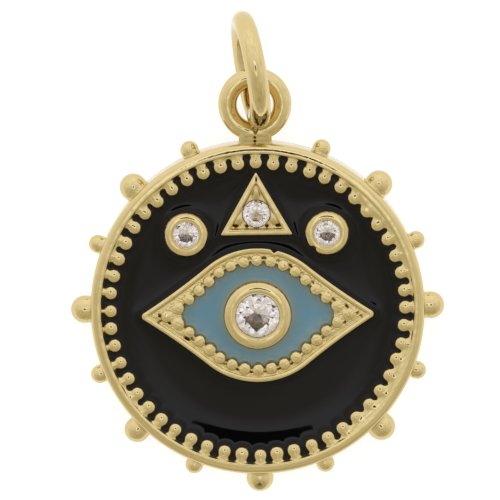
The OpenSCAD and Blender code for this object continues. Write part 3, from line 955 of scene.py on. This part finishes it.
def make_bail():
    loop = tube_ring(np.array([0, BAIL_Y, BAIL_Z]), RIGHT, UP, BAIL_R, BAIL_TUBE / 2, 300, 64)
    loop, hollow = cut_joint(loop)
    loop_piece = build_piece("bail_loop", [loop], close_rows=True, marks={"hollow": [hollow]})
    fit_out(loop_piece, gold, "gold", "medallion")
    y = np.linspace(DISC_R - 0.3, DISC_R + NECK_L + 1.0, 70)[:, None]
    wide, deep = neck_section(around(240)[None, :], y)
    neck, hollow = cut_joint(np.stack([wide, y + 0 * wide, BAIL_Z + deep], -1))
    neck_piece = build_piece("bail_neck", [neck], poles=(True, True), marks={"hollow": [hollow]})
    fit_out(neck_piece, gold, "gold", "medallion")


make_bail()


# %% Jump ring
def make_jump_ring():
    low, high = box_mm("jump_ring")
    middle = (low + high) / 2
    wire, ring_d, turn, lean = 1.2, 6.9, math.radians(8.4), math.radians(7)
    along = np.array([-math.sin(turn), math.cos(turn), 0])
    side = np.array([math.cos(turn), math.sin(turn), 0])
    upward = FRONT * math.cos(lean) + side * math.sin(lean)
    grid = tube_ring(middle, along, upward, (ring_d - wire) / 2, wire / 2, 200, 56)
    piece = build_piece("jump_ring_wire", [grid], close_rows=True,
                        marks={"hollow": [np.zeros(grid.shape[:2])]})
    fit_out(piece, gold, "gold", "jump_ring")


make_jump_ring()

# %% [markdown]
# ## Enamels
# Poured resin climbs wherever it meets metal, and a broad pour stands a little higher towards
# the rim, like a dish. The height is the level, plus the dish, plus one rise for each kind of
# edge that fades exponentially with the distance to it. Those distances come from the same
# formulas that shaped the metal. Below the metal the enamel falls to the pocket's floor, where
# nothing shows.

# %% Black enamel
BEAD_CLIMB, BEZEL_CLIMB, EYE_CLIMB = (0.1, 0.15), (0.22, 0.33), (0.13, 0.24)
DISH_START, DISH_WIDTH, DISH_SLOPE = 6.2, 2.3, 0.19


def climb(edge, kind):
    """Rise of the resin beside an edge: height times exp(-distance / reach)."""
    height, reach = kind
    return height * np.exp(-np.maximum(edge, 0) / reach)


def dish_height(r):
    """Integral of a slope that grows from 0 to DISH_SLOPE as a smooth step: w(t^3 - t^4/2)."""
    t = np.clip((r - DISH_START) / DISH_WIDTH, 0, 1)
    return DISH_SLOPE * DISH_WIDTH * (t ** 3 - t ** 4 / 2)


def black_edges(x, y):
    """Distances to the bead row, to the round bezels and to the eye or triangle."""
    bezels = np.full(x.shape, 99.0)
    for node in ("left_stone", "right_stone"):
        middle, side_d = middle_and_width(node)
        off = np.hypot(x - middle[0], y - middle[1])
        bezels = np.minimum(bezels, off - (side_d / 2 - BEZEL_LIP + SIDE_WALL))
    return rim_row(x, y), bezels, np.minimum(eye_distance(x, y), triangle_distance(x, y))


def make_black():
    turn = around(RIM_BEADS * 12)
    r = np.concatenate([np.linspace(0.3, 8.0, 104), np.linspace(8.04, POCKET_R - 0.005, 32)])
    grid_r, grid_turn = np.meshgrid(r, turn, indexing="ij")
    x, y = grid_r * np.sin(grid_turn), grid_r * np.cos(grid_turn)
    row, bezels, eye = black_edges(x, y)
    z = ENAMEL_Z - 0.09 + dish_height(grid_r)
    z = z + climb(row, BEAD_CLIMB) + climb(bezels, BEZEL_CLIMB) + climb(eye, EYE_CLIMB)
    inner = np.minimum(bezels, eye)
    well = smooth_step(-inner, 0.2, 0.36)
    sunk = FLOOR_Z + FIT - 0.45 * smooth_step(2.5 - grid_r, 0, 1)
    z = z * (1 - well) + sunk * well
    top = np.stack([x, y, z], -1)
    bottom = top[[-1, 0]].copy()
    bottom[..., 2] = [[FLOOR_Z + 0.01], [0.85]]
    grid = np.concatenate([bottom[1:], bottom[:1], top[::-1]])
    near = np.exp(-np.maximum(np.minimum(row, inner), 0) / 0.15)
    marks = np.concatenate([near[:1], near[-1:], near[::-1]])
    piece = build_piece("black_enamel_field", [grid], poles=(True, True), marks={"edge": [marks]})
    fit_out(piece, black, "black_enamel", "black_enamel")


make_black()


# %% Blue enamel
BLUE_CLIMB = (0.12, 0.13)


def make_blue():
    middle, stone_d = middle_and_width("centre_stone")
    bezel_r = stone_d / 2 - BEZEL_LIP + CENTRE_WALL
    ox, oy = eye_ring(LID_W - 0.12, 0.06, 130)
    turn = np.arctan2(oy - middle[1], ox - middle[0])
    ix, iy = middle[0] + (bezel_r - 0.2) * np.cos(turn), middle[1] + (bezel_r - 0.2) * np.sin(turn)
    s = np.linspace(0, 1, 48)[:, None]
    s = s - 0.1 * np.sin(2 * np.pi * s) / (2 * np.pi)
    x, y = ix + (ox - ix) * s, iy + (oy - iy) * s
    to_beads = (np.hypot(x[..., None] - lid_x, y[..., None] - lid_y) - lid_bead_size).min(-1)
    edge = np.minimum(np.minimum(-eye_distance(x, y) - LID_W, to_beads),
                      np.hypot(x - middle[0], y - middle[1]) - bezel_r)
    z = ENAMEL_Z - 0.04 + climb(edge, BLUE_CLIMB)
    top = np.stack([x, y, z], -1)
    bottom = top[[-1, 0]].copy()
    bottom[..., 2] = FLOOR_Z + FIT
    grid = np.concatenate([top, bottom])
    near = 0.7 * np.exp(-np.maximum(edge, 0) / 0.3)
    marks = np.concatenate([near, near[[-1, 0]]])
    piece = build_piece("blue_enamel_field", [grid], close_rows=True, marks={"edge": [marks]})
    fit_out(piece, blue, "blue_enamel", "blue_enamel")


make_blue()

# %% [markdown]
# ## Floor, light and camera
# The pendant lies on white paper inside a white tent, photographed from above through a small
# dark opening. The tent is the world's light: nearly even white, greyer overhead, with that
# opening as a dark spot around the camera, which every bead mirrors as a tiny dot.

# %% Paper and tent
CAM_SIDE, CAM_UP, CAM_ROLL = math.radians(0.5), math.radians(7.5), math.radians(0.8)
AIM = np.array([-0.40, 3.446, 1.8])
VIEW_WIDTH, CAM_FAR = 29.15, 300.0
HOLE_REACH, HALO_REACH = math.radians(7.3), math.radians(16)
to_camera = np.array([math.sin(CAM_SIDE), math.sin(CAM_UP),
                      math.sqrt(1 - math.sin(CAM_SIDE) ** 2 - math.sin(CAM_UP) ** 2)])


def make_floor():
    mesh = bpy.data.meshes.new("paper")
    reach, below = 400 * MM, -0.02 * MM
    corners = [(x * reach, y * reach, below) for x, y in ((-1, -1), (1, -1), (1, 1), (-1, 1))]
    mesh.from_pydata(corners, [], [(0, 1, 2, 3)])
    floor = bpy.data.objects.new("paper", mesh)
    bpy.context.scene.collection.objects.link(floor)
    material, g = new_material("white_paper")
    g.finish({"Base Color": (0.35, 0.35, 0.35, 1), "Roughness": 0.9,
              "Emission Color": (1.0, 1.0, 1.0, 1), "Emission Strength": 0.78})
    mesh.materials.append(material)


def make_tent():
    """With z the way up and y the way to the bail, the light is a level, plus a slope towards
    the bail's side that is steeper overhead, plus a rise near the horizon, plus folds, plus a
    pale halo around the dark opening. What is brighter is also a little bluer."""
    world = bpy.data.worlds.new("white_tent")
    bpy.context.scene.world = world
    g = Graph(world)
    way = g.node("ShaderNodeTexCoord")["Generated"]

    def towards(direction):
        vectors = {0: way, 1: direction}
        return g.node("ShaderNodeVectorMath", {"operation": "DOT_PRODUCT"}, vectors)["Value"]

    facing, z, y = towards(tuple(to_camera)), towards((0, 0, 1)), towards((0, 1, 0))
    hole = ((facing - math.cos(HOLE_REACH)) * 800).clamped()
    halo = ((facing - math.cos(HALO_REACH)) * 45).clamped()
    low = (1 - z).clamped()
    folds = g.noise(way, 5.0, 3.0)
    more = y * (z.clamped() * 0.2 + 0.24) + low * low * 0.12 + halo * 0.5 + (folds - 0.5) * 0.7 - 0.06
    channels = {"Red": 0.92 + more * 0.95, "Green": 0.92 + more * 1.05, "Blue": 0.90 + more * 1.4}
    colour = g.node("ShaderNodeCombineColor", None, channels)["Color"]
    background = g.node("ShaderNodeBackground", None,
                        {"Color": colour, "Strength": 1 - hole * 0.98})["Background"]
    g.node("ShaderNodeOutputWorld", None, {"Surface": background})


make_floor()
make_tent()
bpy.context.scene.view_settings.view_transform = "Standard"
print("tent and paper made")


# %% Camera
def make_camera():
    """Looks back along to_camera at AIM, rolled so that the pendant leans as in the picture."""
    up = UP - to_camera * (UP @ to_camera)
    up = up / np.linalg.norm(up)
    right = np.cross(up, to_camera)
    across = math.cos(CAM_ROLL) * right - math.sin(CAM_ROLL) * up
    upward = math.sin(CAM_ROLL) * right + math.cos(CAM_ROLL) * up
    place = (AIM + to_camera * CAM_FAR) * MM
    data = bpy.data.cameras.new("camera")
    data.sensor_width = 36
    data.lens = 36 * CAM_FAR / VIEW_WIDTH
    data.clip_start, data.clip_end = 0.01, 10
    camera = bpy.data.objects.new("camera", data)
    matrix = np.eye(4)
    matrix[:3, 0], matrix[:3, 1], matrix[:3, 2], matrix[:3, 3] = across, upward, to_camera, place
    camera.matrix_world = Matrix(matrix.tolist())
    bpy.context.scene.collection.objects.link(camera)
    bpy.context.scene.camera = camera
    print("camera at", place.round(4))


make_camera()
